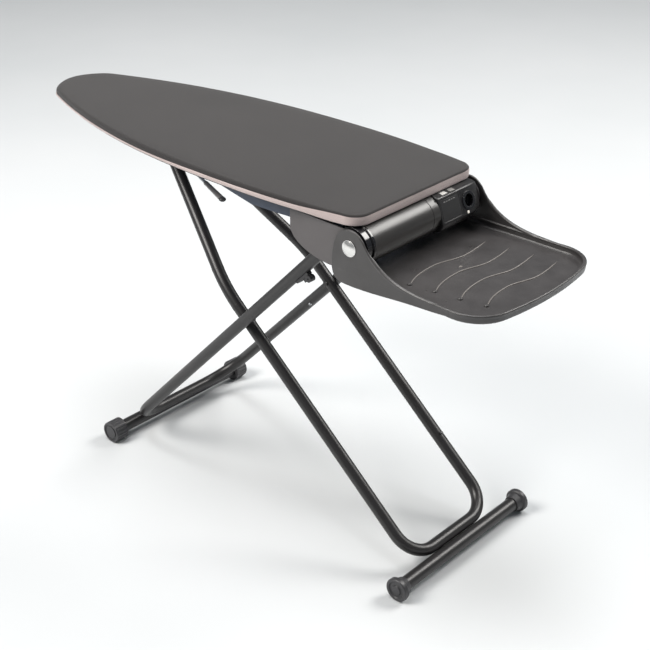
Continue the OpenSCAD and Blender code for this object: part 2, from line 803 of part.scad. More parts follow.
foot_bar_a();
foot_cap_a(-1);  // foot_cap_a_l
foot_cap_a(1);  // foot_cap_a_r
leg_stud();
slider_pin();
slider_rollers();
leg_a_plugs();
lever_rod();
lever_grip();
lock_rack();
lever_spring();
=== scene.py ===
import math

import bmesh
import bpy
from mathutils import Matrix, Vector, noise


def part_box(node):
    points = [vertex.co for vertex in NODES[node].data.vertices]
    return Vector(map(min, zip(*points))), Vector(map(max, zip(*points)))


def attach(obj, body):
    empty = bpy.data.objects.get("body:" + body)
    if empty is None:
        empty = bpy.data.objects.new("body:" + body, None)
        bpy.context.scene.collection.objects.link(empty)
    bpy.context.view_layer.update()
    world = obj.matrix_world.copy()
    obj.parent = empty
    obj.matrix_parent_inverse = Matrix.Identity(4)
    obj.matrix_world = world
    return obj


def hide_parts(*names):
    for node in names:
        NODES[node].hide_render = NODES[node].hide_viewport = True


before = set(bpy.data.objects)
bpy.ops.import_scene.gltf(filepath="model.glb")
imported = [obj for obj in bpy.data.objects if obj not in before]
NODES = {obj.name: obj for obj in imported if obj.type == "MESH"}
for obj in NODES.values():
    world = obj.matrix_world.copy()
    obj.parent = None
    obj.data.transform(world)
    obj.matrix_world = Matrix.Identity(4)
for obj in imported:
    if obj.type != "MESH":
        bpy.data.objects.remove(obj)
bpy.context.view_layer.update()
scene = bpy.context.scene

# places taken from the frame, in metres
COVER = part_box("cover")
NOSE, REAR = COVER[0].x, COVER[1].x
TOP, HALF = COVER[1].z, COVER[1].y
HEM = TOP - 0.023
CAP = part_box("hub_cap_l")
HUB = ((CAP[0].x + CAP[1].x) / 2, (CAP[0].z + CAP[1].z) / 2)


# ---------------------------------------------------------------- materials
def new_material(name):
    m = bpy.data.materials.new(name)
    m.use_nodes = True
    return m, m.node_tree, m.node_tree.nodes["Principled BSDF"]


def put(tree, kind, **values):
    n = tree.nodes.new(kind)
    for k, v in values.items():
        setattr(n, k, v)
    return n


def noise_of(tree, vector, scale, detail=4.0, rough=0.55):
    n = put(tree, "ShaderNodeTexNoise")
    n.inputs["Scale"].default_value = scale
    n.inputs["Detail"].default_value = detail
    n.inputs["Roughness"].default_value = rough
    tree.links.new(vector, n.inputs["Vector"])
    return n.outputs["Fac"]


def ramp(tree, fac, stops):
    r = put(tree, "ShaderNodeValToRGB")
    e = r.color_ramp.elements
    e[0].position, e[0].color = stops[0][0], (*stops[0][1], 1)
    e[1].position, e[1].color = stops[-1][0], (*stops[-1][1], 1)
    for p, c in stops[1:-1]:
        x = e.new(p)
        x.color = (*c, 1)
    tree.links.new(fac, r.inputs["Fac"])
    return r.outputs["Color"]


def spread(tree, value, a, b, c, d):
    m = put(tree, "ShaderNodeMapRange")
    for i, v in zip((1, 2, 3, 4), (a, b, c, d)):
        m.inputs[i].default_value = v
    tree.links.new(value, m.inputs[0])
    return m.outputs[0]


def math_of(tree, op, a, b=None):
    m = put(tree, "ShaderNodeMath", operation=op)
    for i, v in enumerate((a, b)):
        if v is None:
            continue
        if isinstance(v, (int, float)):
            m.inputs[i].default_value = v
        else:
            tree.links.new(v, m.inputs[i])
    return m.outputs[0]


def mixed(tree, fac, a, b):
    m = put(tree, "ShaderNodeMix", data_type="RGBA")
    tree.links.new(fac, m.inputs[0])
    for i, v in ((6, a), (7, b)):
        if isinstance(v, tuple):
            m.inputs[i].default_value = (*v, 1)
        else:
            tree.links.new(v, m.inputs[i])
    return m.outputs[2]


def tint(c, k):
    return tuple(min(1.0, x * k) for x in c)


def surface(name, base, rough=0.5, metal=0.0, var=0.12, var_scale=9.0, grain=700.0, grain_h=0.00006,
            rough_var=0.08, edge=0.0012, wear_and_highlight=0.0, wear_and_highlight_colour=None, coat=0.0, spec=0.5, speck=0.0):
    """Plastic, paint or metal: cloudy colour, uneven gloss, fine grain, rounded edges; edges lightened as
    rubbed wear, on some materials as a painted highlight.
    """
    m, t, b = new_material(name)
    at = put(t, "ShaderNodeTexCoord").outputs["Object"]
    cloud = noise_of(t, at, var_scale, 5.0)
    colour = ramp(t, cloud, [(0.3, tint(base, 1 - var)), (0.5, base), (0.72, tint(base, 1 + var))])
    fine = noise_of(t, at, grain, 3.0)
    if speck:
        colour = mixed(t, spread(t, fine, 0.55, 0.75, 0.0, speck), colour, tint(base, 1.9))
    rounded = put(t, "ShaderNodeBevel", samples=6)
    rounded.inputs["Radius"].default_value = edge
    # lighter edges: rubbed wear, and on some materials a painted highlight along the edges
    if wear_and_highlight:
        flat = put(t, "ShaderNodeNewGeometry").outputs["Normal"]
        dot = put(t, "ShaderNodeVectorMath", operation="DOT_PRODUCT")
        t.links.new(rounded.outputs[0], dot.inputs[0])
        t.links.new(flat, dot.inputs[1])
        bent = spread(t, dot.outputs["Value"], 0.985, 0.80, 0.0, 1.0)
        patch = spread(t, noise_of(t, at, 60.0, 6.0), 0.38, 0.66, 0.15, 1.0)
        rub_and_highlight = math_of(t, "MULTIPLY", math_of(t, "MULTIPLY", bent, patch), wear_and_highlight)
        colour = mixed(t, rub_and_highlight, colour, wear_and_highlight_colour or tint(base, 2.2))
    t.links.new(colour, b.inputs["Base Color"])
    gloss = noise_of(t, at, 34.0, 6.0, 0.65)
    t.links.new(spread(t, gloss, 0.25, 0.75, max(0.03, rough - rough_var), min(1.0, rough + rough_var)),
                b.inputs["Roughness"])
    bump = put(t, "ShaderNodeBump")
    bump.inputs["Strength"].default_value = 0.7
    bump.inputs["Distance"].default_value = grain_h
    t.links.new(fine, bump.inputs["Height"])
    t.links.new(rounded.outputs[0], bump.inputs["Normal"])
    t.links.new(bump.outputs[0], b.inputs["Normal"])
    b.inputs["Metallic"].default_value = metal
    b.inputs["Specular IOR Level"].default_value = spec
    b.inputs["Coat Weight"].default_value = coat
    b.inputs["Coat Roughness"].default_value = 0.12
    return m


def woven(name, base, pitch, depth, var=0.16, sheen=0.25, rough=0.85, fleck=0.25, slant=False):
    """Plain weave over the piece's own cloth coordinates, in metres: crossing yarns, fuzz and uneven dye."""
    m, t, b = new_material(name)
    uv = put(t, "ShaderNodeUVMap", uv_map="cloth").outputs[0]
    at = put(t, "ShaderNodeTexCoord").outputs["Object"]
    cut = put(t, "ShaderNodeSeparateXYZ")
    t.links.new(uv, cut.inputs[0])
    x, y = cut.outputs[0], cut.outputs[1]
    if slant:
        x, y = math_of(t, "ADD", x, y), math_of(t, "SUBTRACT", x, y)
    wobble = math_of(t, "MULTIPLY", math_of(t, "SUBTRACT", noise_of(t, uv, 90.0, 3.0), 0.5), pitch * 1.2)
    k = 2 * math.pi / pitch
    wx = math_of(t, "SINE", math_of(t, "MULTIPLY", math_of(t, "ADD", x, wobble), k))
    wy = math_of(t, "SINE", math_of(t, "MULTIPLY", math_of(t, "ADD", y, wobble), k))
    over = math_of(t, "MULTIPLY", wx, wy)
    ridge = math_of(t, "ADD", math_of(t, "ABSOLUTE", wx), math_of(t, "ABSOLUTE", wy))
    height = math_of(t, "ADD", math_of(t, "MULTIPLY", over, 0.35), math_of(t, "MULTIPLY", ridge, 0.3))
    fuzz = noise_of(t, uv, 2600.0, 2.0)
    height = math_of(t, "ADD", height, math_of(t, "MULTIPLY", fuzz, 0.5))
    cloud = noise_of(t, at, 5.0, 6.0)
    colour = ramp(t, cloud, [(0.28, tint(base, 1 - var)), (0.5, base), (0.75, tint(base, 1 + var))])
    # painted shade: the weave's low parts, between the yarns, are darkened
    colour = mixed(t, spread(t, height, 0.1, 1.1, 0.55, 0.0), colour, tint(base, 0.45))
    yarn = noise_of(t, uv, 420.0, 2.0)
    colour = mixed(t, spread(t, yarn, 0.56, 0.72, 0.0, fleck), colour, tint(base, 2.0))
    t.links.new(colour, b.inputs["Base Color"])
    t.links.new(spread(t, cloud, 0.3, 0.7, rough - 0.06, min(1.0, rough + 0.06)), b.inputs["Roughness"])
    bump = put(t, "ShaderNodeBump")
    bump.inputs["Strength"].default_value = 0.8
    bump.inputs["Distance"].default_value = depth
    t.links.new(height, bump.inputs["Height"])
    t.links.new(bump.outputs[0], b.inputs["Normal"])
    b.inputs["Sheen Weight"].default_value = sheen
    b.inputs["Sheen Roughness"].default_value = 0.45
    b.inputs["Specular IOR Level"].default_value = 0.25
    return m


M = {
    "cover": woven("charcoal_weave", (0.0305, 0.0276, 0.0275), 0.0011, 0.00020),
    "hem": woven("hem_tape", (0.61, 0.505, 0.485), 0.0009, 0.00014, var=0.07, sheen=0.35, rough=0.62,
                 fleck=0.12, slant=True),
    "thread": surface("sewing_thread", (0.46, 0.40, 0.39), rough=0.55, grain=3000.0, edge=0.0002),
    "felt": surface("pad_felt_fibre", (0.62, 0.58, 0.50), rough=0.95, var=0.15, grain=420.0,
                    grain_h=0.0006, edge=0.002),
    # dark coat, partly painted shade: it stands for the shadow line under the hem
    "plate": surface("plate_dark_coat_and_shade", (0.030, 0.027, 0.028), rough=0.5, var=0.2, var_scale=30.0,
                     grain=420.0, wear_and_highlight=0.2),
    # the blue tint is a painted reflection of a blue backdrop on the dark pan
    "pan": surface("pan_painted_blue_reflection", (0.040, 0.054, 0.085), rough=0.42, grain=520.0, wear_and_highlight=0.4),
    "tube": surface("tube_coat", (0.019, 0.0175, 0.0178), rough=0.36, var=0.12, grain=1400.0,
                    grain_h=0.000015, rough_var=0.03, edge=0.0008, spec=0.55),
    "bracket": surface("bracket_grey", (0.110, 0.102, 0.103), rough=0.58, var=0.07, grain=1300.0,
                       grain_h=0.00008, edge=0.0016, wear_and_highlight=0.3),
    # edges lightened: partly rubbed wear, partly a painted highlight along the rim and the ear edges
    "tray": surface("tray_dark_plastic", (0.047, 0.044, 0.044), rough=0.36, var=0.16, var_scale=14.0,
                    grain=760.0, grain_h=0.00022, rough_var=0.11, edge=0.0022, wear_and_highlight=0.55,
                    wear_and_highlight_colour=(0.26, 0.245, 0.235), spec=0.6),
    "dark": surface("moulded_dark", (0.034, 0.033, 0.035), rough=0.5, grain=1300.0, grain_h=0.00008,
                    wear_and_highlight=0.25),
    # pale colour, partly a painted highlight standing for the thin light lines along the ribs
    "rib": surface("rib_pale_and_painted_highlight", (0.17, 0.155, 0.145), rough=0.4, grain=1300.0, edge=0.0006),
    "housing": surface("housing_satin", (0.043, 0.0405, 0.0385), rough=0.30, var=0.05, grain=1600.0,
                       grain_h=0.00004, rough_var=0.03, edge=0.0008, wear_and_highlight=0.2, spec=0.6),
    "box": surface("box_satin", (0.022, 0.0212, 0.0215), rough=0.31, var=0.08, grain=1500.0,
                   grain_h=0.00005, edge=0.003, wear_and_highlight=0.35, wear_and_highlight_colour=(0.22, 0.21, 0.2)),
    "panel": surface("panel_plate_satin", (0.025, 0.0245, 0.025), rough=0.46, grain=1800.0, edge=0.0008,
                     wear_and_highlight=0.5, wear_and_highlight_colour=(0.3, 0.29, 0.28)),
    "print": surface("printed_marks", (0.34, 0.33, 0.32), rough=0.6, var=0.1, grain=2000.0,
                     grain_h=0.00001, edge=0.0002),
    "gloss": surface("black_gloss", (0.010, 0.010, 0.012), rough=0.14, var=0.1, rough_var=0.05,
                     grain=500.0, grain_h=0.00001, edge=0.0014, wear_and_highlight=0.5, wear_and_highlight_colour=(0.35, 0.34, 0.33),
                     coat=0.5),
    # edges lightened: partly rubbed wear, partly a painted highlight that brings out the foot caps' ribs
    "rubber": surface("foot_cap_black", (0.042, 0.041, 0.044), rough=0.42, grain=900.0, grain_h=0.00008,
                      wear_and_highlight=0.6, wear_and_highlight_colour=(0.13, 0.13, 0.135), edge=0.0012),
    "white": surface("rocker_pale", (0.62, 0.61, 0.58), rough=0.38, var=0.05, grain=1200.0,
                     grain_h=0.00004, edge=0.0008),
    # the pale rocker plastic darkened as painted shade, used for the power rocker
    "white_painted_shade": surface("rocker_painted_shade", (0.27, 0.265, 0.25), rough=0.4, var=0.06, grain=1200.0,
                         grain_h=0.00004, edge=0.0008),
    "roller": surface("roller_nylon", (0.70, 0.69, 0.64), rough=0.45, var=0.06, grain=800.0),
    "board": surface("circuit_board", (0.02, 0.11, 0.045), rough=0.4, var=0.25, var_scale=120.0,
                     grain=500.0, speck=0.4),
    "motor": surface("motor_steel", (0.42, 0.43, 0.45), rough=0.34, metal=0.9, grain=420.0, wear_and_highlight=0.3),
    "silver": surface("satin_silver", (0.78, 0.77, 0.75), rough=0.24, metal=0.9, var=0.05, grain=1400.0,
                      grain_h=0.00002, rough_var=0.06, edge=0.0006),
    "zinc": surface("zinc_plated", (0.52, 0.53, 0.55), rough=0.32, metal=0.95, var=0.15, var_scale=60.0,
                    grain=600.0, grain_h=0.00004, edge=0.0006),
    "grip": surface("grip_grey", (0.20, 0.19, 0.19), rough=0.34, metal=0.35, var=0.1, grain=900.0,
                    grain_h=0.00006, wear_and_highlight=0.3),
}


def lamp_lens():
    m, t, b = new_material("lamp_lens")
    spots = noise_of(t, put(t, "ShaderNodeTexCoord").outputs["Object"], 900.0, 2.0)
    t.links.new(ramp(t, spots, [(0.3, (0.9, 0.84, 0.72)), (0.7, (1.0, 0.97, 0.9))]), b.inputs["Base Color"])
    t.links.new(spread(t, spots, 0.3, 0.7, 0.12, 0.2), b.inputs["Roughness"])
    b.inputs["Emission Color"].default_value = (1.0, 0.95, 0.85, 1)
    b.inputs["Emission Strength"].default_value = 0.25
    return m


M["lamp"] = lamp_lens()


def dress(names, key):
    for n in names.split():
        o = NODES[n]
        o.data.materials.clear()
        o.data.materials.append(M[key])


dress("top_plate", "plate")
dress("plenum_pan", "pan")
dress("guide_rail leg_a_frame leg_b_frame leg_b_cross_rod pivot_bolts foot_bar_a foot_bar_b", "tube")
dress("side_bracket_l side_bracket_r", "bracket")
dress("tray tray_nubs", "tray")
dress("hinge_block_l hinge_block_r air_duct lever_bearings fan_impeller leg_catch "
      "leg_b_plugs leg_a_plugs pivot_spacers", "dark")
dress("tray_ribs", "rib")
dress("housing_shell", "housing")
dress("control_box", "box")
dress("control_panel_plate", "panel")
dress("housing_end_cap socket_insert", "gloss")
dress("foot_cap_a_l foot_cap_a_r foot_cap_b_l foot_cap_b_r leg_stud", "rubber")
dress("rocker_mode", "white")
# the power rocker gets the painted-shade copy of the rocker colour
dress("rocker_power", "white_painted_shade")
dress("slider_rollers", "roller")
dress("indicator_lamp", "lamp")
dress("control_pcb", "board")
dress("fan_motor", "motor")
dress("hub_cap_l hub_cap_r", "silver")
dress("hub_pin_l hub_pin_r pan_screws hinge_screws fan_shaft tube_rivets slider_pin "
      "lever_rod lock_rack lever_spring", "zinc")
dress("tray_rivet", "rib")
dress("lever_grip", "grip")
dress("cover", "cover")
dress("cover_hem", "hem")
dress("pad", "felt")


# ---------------------------------------------------------------- mesh helpers
def make(name, verts, faces, key, body, flat_faces=(), uv=None):
    me = bpy.data.meshes.new(name)
    me.from_pydata([tuple(v) for v in verts], [], faces)
    me.polygons.foreach_set("use_smooth", [i not in flat_faces for i in range(len(me.polygons))])
    if uv is not None:
        layer = me.uv_layers.new(name="cloth")
        for l in me.loops:
            layer.data[l.index].uv = uv[l.vertex_index]
    bm = bmesh.new()
    bm.from_mesh(me)
    bmesh.ops.remove_doubles(bm, verts=bm.verts, dist=1e-6)
    bmesh.ops.recalc_face_normals(bm, faces=bm.faces)
    bm.to_mesh(me)
    bm.free()
    me.materials.append(M[key])
    o = bpy.data.objects.new(name, me)
    scene.collection.objects.link(o)
    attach(o, body)
    return o


class Shells:
    """Gathers several closed shells into one piece."""

    def __init__(self):
        self.v, self.f, self.flat, self.uv = [], [], set(), []

    def loft(self, rings, caps=(True, True), uv=None):
        """Skin over closed rings of equal length, with or without its two end faces."""
        base, n = len(self.v), len(rings[0])
        for r in rings:
            self.v.extend(r)
        if uv:
            for r in uv:
                self.uv.extend(r)
        for i in range(len(rings) - 1):
            for j in range(n):
                a, b_ = base + i * n + j, base + i * n + (j + 1) % n
                self.f.append((a, b_, b_ + n, a + n))
        for side, at in ((0, 0), (1, len(rings) - 1)):
            if caps[side]:
                self.flat.add(len(self.f))
                ids = [base + at * n + j for j in range(n)]
                self.f.append(tuple(ids if side else reversed(ids)))
        return self

    def tube(self, path, radius, sides=12, up=(0, 0, 1), squash=1.0):
        """Round or oval rod along a list of points; radius may be a list."""
        rings = []
        for i, p in enumerate(path):
            q0, q1 = path[max(0, i - 1)], path[min(len(path) - 1, i + 1)]
            d = (Vector(q1) - Vector(q0)).normalized()
            s = d.cross(Vector(up)).normalized()
            u = s.cross(d).normalized()
            r = radius[i] if isinstance(radius, (list, tuple)) else radius
            rings.append([Vector(p) + s * (r * math.cos(a)) + u * (r * squash * math.sin(a))
                          for a in (2 * math.pi * k / sides for k in range(sides))])
        return self.loft(rings)

    def plate(self, outline, y0, y1, r=0.0012, steps=4):
        """Flat plate across Y with rounded edges, from an x-z outline that runs anticlockwise."""
        n = len(outline)
        nor = []
        for i in range(n):
            a, c = Vector(outline[i - 1]), Vector(outline[(i + 1) % n])
            d = (c - a).normalized()
            nor.append(Vector((d.y, -d.x)))
        rings = []
        for side in (0, 1):
            for k in range(steps + 1):
                a = math.pi / 2 * (k if side == 0 else steps - k) / steps
                inset, dy = r * (1 - math.sin(a)), r * (1 - math.cos(a))
                y = y0 + dy if side == 0 else y1 - dy
                rings.append([Vector((p[0] - out.x * inset, y, p[1] - out.y * inset))
                              for p, out in zip(outline, nor)])
        return self.loft(rings)

    def done(self, name, key, body):
        return make(name, self.v, self.f, key, body, self.flat, self.uv or None)


def circle(r, sides):
    """Points of a circle about the origin."""
    turn = [2 * math.pi * k / sides for k in range(sides)]
    return [(r * math.cos(a), r * math.sin(a)) for a in turn]


def arc(cx, cy, r, degrees):
    """Points on a circle about (cx, cy) at the given angles."""
    return [(cx + r * math.cos(math.radians(a)), cy + r * math.sin(math.radians(a))) for a in degrees]


def smooth_loop(points, per, closed=True):
    """Catmull-Rom curve through the points, with per steps between two of them."""
    out, n = [], len(points)
    for i in range(n if closed else n - 1):
        near = [(i + k) % n if closed else min(n - 1, max(0, i + k)) for k in (-1, 0, 1, 2)]
        p = [Vector(points[k]) for k in near]
        for s in range(per):
            u = s / per
            out.append(0.5 * (2 * p[1] + (p[2] - p[0]) * u + (2 * p[0] - 5 * p[1] + 4 * p[2] - p[3]) * u * u
                              + (3 * p[1] - p[0] - 3 * p[2] + p[3]) * u ** 3))
    if not closed:
        out.append(Vector(points[-1]))
    return out


# ---------------------------------------------------------------- ironing top
LEN = REAR - NOSE
# how far the nose's rounding reaches back, and the radius of the two rear corners
NOSE_DEPTH = 0.060
CORNER = 0.042
# distance from the nose at which the board is widest; past WIDE_END it narrows again
WIDE = 0.830
WIDE_END = 0.860


def flank(t):
    """Half width of the board at a distance t from the nose."""
    narrow_nose = 0.164 * max(0, (WIDE - t) / WIDE) ** 2.3
    narrow_rear = 0.026 * max(0, (t - WIDE_END) / 0.297) ** 2
    return HALF - narrow_nose - narrow_rear


def half_outline():
    pts = []
    for i in range(19):
        a = math.radians(5 * i)
        t = NOSE_DEPTH * (1 - math.cos(a))
        pts.append((t, flank(t) * math.sin(a)))
    for i in range(1, 90):
        t = NOSE_DEPTH + (LEN - CORNER - NOSE_DEPTH) * i / 90
        pts.append((t, flank(t)))
    side = flank(LEN - CORNER) - CORNER
    for i in range(16):
        a = math.radians(6 * i)
        pts.append((LEN - CORNER + CORNER * math.sin(a), side + CORNER * math.cos(a)))
    pts += [(LEN, side * (1 - i / 20)) for i in range(1, 21)]
    return pts


# the board's plan outline, its outward directions and the distance run along it
OUT = [Vector((NOSE + x, y)) for x, y in half_outline()]
OUT += [Vector((p.x, -p.y)) for p in reversed(OUT[1:-1])]
NRM = []
for i in range(len(OUT)):
    d = (OUT[(i + 1) % len(OUT)] - OUT[i - 1]).normalized()
    NRM.append(Vector((-d.y, d.x)))
RUN = [0.0]
for i in range(1, len(OUT)):
    RUN.append(RUN[-1] + (OUT[i] - OUT[i - 1]).length)


def wave(p, scale, seed):
    return noise.noise(Vector((p.x * scale, p.y * scale, seed)))


def board_ring(inset, z, ripple):
    """The outline drawn in by inset at height z, slightly uneven."""
    ring = []
    for p, n in zip(OUT, NRM):
        q = p - n * (inset + ripple * wave(p, 22.0, 3.1))
        ring.append(Vector((q.x, q.y, z + ripple * 0.4 * wave(p, 30.0, 9.4))))
    return ring


def spine(x):
    """Point of the board's middle line nearest to x, kept clear of the nose and the rear edge."""
    return Vector((min(max(x, NOSE + 0.085), REAR - 0.12), 0.0))


def along(x, stops):
    """Value at x from (x, value) stops, eased between them."""
    if x <= stops[0][0]:
        return stops[0][1]
    for (x0, v0), (x1, v1) in zip(stops, stops[1:]):
        if x <= x1:
            u = (x - x0) / (x1 - x0)
            return v0 + (v1 - v0) * u * u * (3 - 2 * u)
    return stops[-1][1]


def band_top(x):
    return HEM + along(x, [(-0.60, 0.0080), (-0.30, 0.0085), (0.02, 0.0135), (0.25, 0.0150), (0.37, 0.0192)])


def band_low(x):
    return HEM + along(x, [(-0.30, 0.0040), (0.02, 0.0038), (0.25, 0.0028), (0.37, -0.0019)])


def shoulder(x):
    return along(x, [(-0.30, 0.0100), (0.25, 0.0090), (0.37, 0.0048)])


def crown(q):
    return TOP + 0.0005 + 0.0007 * wave(q, 4.5, 5.5)


def cover_cloth():
    rings, uvs = [], []
    lift = {0.0032: 0.0, 0.0016: 0.0003, 0.0006: 0.0012}
    steps = [("low", v, 0.0) for v in lift] + [("side", 0.0002, 0.3), ("side", 0.0001, 0.7)]
    steps += [("arc", k / 7, 0.0) for k in range(8)]
    steps += [("top", v, 0.0) for v in (0.004, 0.009, 0.016)]
    for kind, v, w in steps:
        ring = []
        for p, n in zip(OUT, NRM):
            r = shoulder(p.x)
            low = band_top(p.x) - 0.0020
            z1 = TOP - r - 0.0004
            puff = 0.0004 * wave(p, 20.0, 3.1)
            if kind == "low":
                ins, z = v, low + lift[v]
            elif kind == "side":
                ins, z = v, min(z1 - 0.0002, low + 0.0012 + (z1 - low - 0.0012) * w)
            elif kind == "arc":
                a = math.pi / 2 * v
                ins, z = r * (1 - math.cos(a)), z1 + r * math.sin(a)
            else:
                q = p - n * (r + v)
                k = v / 0.016
                ins, z = r + v, TOP - 0.0004 + (crown(q) - TOP + 0.0004) * k * k * (3 - 2 * k)
            ring.append(Vector((*(p - n * (ins + puff * (0.0 if kind == "low" else 0.6))), z)))
        rings.append(ring)
    flat_at = len(steps) - 4
    for k, ring in enumerate(rings):
        if k >= flat_at:
            uvs.append([(p.x, p.y) for p in ring])
        else:
            drop = [(q, n, (q.z - p.z) * 1.3) for p, q, n in zip(ring, rings[flat_at], NRM)]
            uvs.append([(q.x + n.x * d, q.y + n.y * d) for q, n, d in drop])
    inner = rings[-1]
    middle = [spine((inner[i].x + inner[-i % len(inner)].x) / 2) for i in range(len(inner))]
    for w in (0.12, 0.26, 0.42, 0.6, 0.8, 1.0):
        ring = []
        for p, m in zip(inner, middle):
            q = Vector((p.x, p.y)).lerp(m, w)
            ring.append(Vector((q.x, q.y, crown(q))))
        rings.append(ring)
        uvs.append([(p.x, p.y) for p in ring])
    o = Shells().loft(rings, caps=(False, False), uv=uvs).done("cover_cloth", "cover", "ironing_top")
    so = o.modifiers.new("thickness", "SOLIDIFY")
    so.thickness = 0.0016
    so.offset = -1.0
    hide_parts("cover")
    return o


def hem_piece():
    """Band round the edge: depth follows the outline, lower edge turned in under the board."""
    # cross-section: how far in from the outline, in millimetres, and which share of the band's height
    outer = [(3.2, 0.86), (2.4, 0.98), (0.9, 1.0), (-0.5, 0.93), (-1.3, 0.74), (-1.6, 0.50), (-1.4, 0.26)]
    under = [(-0.5, 0.08), (1.4, 0.0), (3.6, 0.02), (4.6, 0.06), (4.6, 0.13), (3.6, 0.14)]
    inner = [(2.7, 0.20), (2.5, 0.40), (2.6, 0.66)]
    rings, uvs = [], []
    for q in smooth_loop([(a / 1000, share, 0) for a, share in outer + under + inner], 3):
        ring, uv = [], []
        for p, n, run in zip(OUT, NRM, RUN):
            low = band_low(p.x)
            rise = (band_top(p.x) - low) * q.y
            puff = 1.0 + 0.08 * wave(p, 16.0, 7.7)
            ins = q.x if q.x > 0.003 else 0.003 + (q.x - 0.003) * puff
            ring.append(Vector((*(p - n * ins), low + rise)))
            uv.append((run, rise + (0.0 if q.x < 0.001 else 0.02)))
        rings.append(ring)
        uvs.append(uv)
    rings.append(rings[0])
    uvs.append(uvs[0])
    o = Shells().loft(rings, caps=(False, False), uv=uvs).done("hem_band", "hem", "ironing_top")
    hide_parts("cover_hem")
    return o


def point_on_outline(s):
    s = s % RUN[-1]
    lo, hi = 0, len(RUN) - 1
    while hi - lo > 1:
        mid = (lo + hi) // 2
        if RUN[mid] <= s:
            lo = mid
        else:
            hi = mid
    u = (s - RUN[lo]) / max(1e-9, RUN[hi] - RUN[lo])
    return OUT[lo].lerp(OUT[hi], u), NRM[lo].lerp(NRM[hi], u).normalized()


def stitches():
    sh = Shells()
    pitch, long_ = 0.0048, 0.0034
    n = int(RUN[-1] / pitch)
    for i in range(n):
        path = []
        for k, lift in ((0, -0.0003), (1, 0.0001), (2, 0.0002), (3, 0.0001), (4, -0.0003)):
            p, outward = point_on_outline(i * pitch + long_ * k / 4)
            height = band_low(p.x) + 0.78 * (band_top(p.x) - band_low(p.x))
            path.append(Vector((*(p + outward * (0.00115 + lift)), height)))
        sh.tube(path, 0.00032, sides=5)
    o = sh.done("hem_stitches", "thread", "ironing_top")
    return o


def pad_felt():
    lo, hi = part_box("pad")
    edge = [(0.012, lo.z), (0.0046, lo.z + 0.0002), (0.0040, lo.z + 0.0014)]
    edge += [(0.0040, hi.z - 0.0022), (0.0048, hi.z - 0.0008), (0.0075, hi.z)]
    rings = [board_ring(ins, z, 0.0001) for ins, z in edge]

    def towards_spine(ring, w, z):
        return [Vector((*Vector((p.x, p.y)).lerp(spine(p.x), w), z)) for p in ring]

    over = [towards_spine(rings[-1], w, hi.z) for w in (0.3, 0.65, 1.0)]
    under = [towards_spine(rings[0], w, lo.z) for w in (1.0, 0.5)]
    o = Shells().loft(under + rings + over, caps=(False, False)).done("pad_felt", "felt", "ironing_top")
    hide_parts("pad")
    return o


cloth = cover_cloth()
hem = hem_piece()
seam = stitches()
pad_felt()


# ---------------------------------------------------------------- iron tray
# half width and front of the tray, its floor's height, its back edge, and the ears' thickness and radius
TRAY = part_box("tray")
W = TRAY[1].y
FRONT = TRAY[1].x
FLOOR = 0.755
BACK = REAR - 0.047
THICK = 0.0054
EAR_R = 0.042


def tray_plan(d):
    """Plan outline of the tray, drawn in by d: sides, round corners and bowed front."""
    r, w = 0.085 - d, W - d
    cx = FRONT - 0.096
    side = [(BACK + (cx - BACK) * i / 26, w) for i in range(26)]
    for i in range(19):
        a = math.radians(90 - 4.42 * i)
        side.append((cx + r * math.cos(a), w - r + r * math.sin(a)))
    front = []
    for i in range(25):
        y = 0.138 - 0.276 * i / 24
        front.append((FRONT - d - y * y / 1.6, y))
    ends = [0.006, 0.012, 0.020]
    back = [e - w for e in ends] + [-w + 0.020 + (2 * w - 0.040) * i / 9 for i in range(1, 9)]
    back += [w - e for e in reversed(ends)]
    pts = side + front + [(x, -y) for x, y in reversed(side)] + [(BACK, y) for y in back]
    return [Vector(p) for p in pts]


def ease(x, a, b_):
    u = min(1.0, max(0.0, (x - a) / (b_ - a)))
    return u * u * (3 - 2 * u)


def behind(mm):
    """x of a place given in millimetres behind the board's rear edge."""
    return REAR + mm / 1000


def tray_pan(sh):
    """Floor, rounded walls and rolled rim; the wall is missing where the tray passes under the housing."""
    # how far in from the plan outline, in metres, and the height in millimetres
    outer = [(0.022, 751.9), (0.0060, 752.0), (0.0030, 752.8), (0.0014, 754.2), (0.0008, 756.2)]
    outer += [(0.0002, 763.0), (0.0, 766.6)]
    rim = [(-0.0008, 767.8), (-0.0010, 769.6), (-0.0004, 771.2), (0.0010, 772.1), (0.0030, 772.4)]
    rim += [(0.0058, 772.2), (0.0074, 771.4), (0.0080, 770.0), (0.0076, 768.7), (0.0064, 767.9)]
    inner = [(0.0058, 766.8), (0.0056, 762.0), (0.0060, 759.6), (0.0072, 757.2), (0.0096, 755.7)]
    inner += [(0.0130, 755.1), (0.018, 755.0)]
    rings = []
    for d, height in outer + rim + inner:
        ring = []
        for p in tray_plan(d):
            wall = 1.0 if p.x > BACK + 0.001 else ease(abs(p.y), W - 0.0165, W - 0.0085)
            if abs(p.y) > W - 0.004:
                # beside the ears the wall steps in, so that the two do not share a face
                p.y -= math.copysign(0.0018 * (1 - ease(p.x, behind(236), behind(249))), p.y)
            z = height / 1000
            if z > FLOOR:
                z = FLOOR + (z - FLOOR) * wall
            ring.append(Vector((p.x, p.y, z)))
        rings.append(ring)
    sh.loft(rings)


def ear_curve():
    """Curved upper edge of an ear, from the rim up towards the pivot."""
    curve = []
    for i in range(1, 25):
        u = i / 24
        a, b_, c = (1 - u) ** 2, 2 * u * (1 - u), u * u
        curve.append(Vector((behind(a * 178 + b_ * 62 + c * 17), (a * 772 + b_ * 775 + c * 850) / 1000)))
    return curve


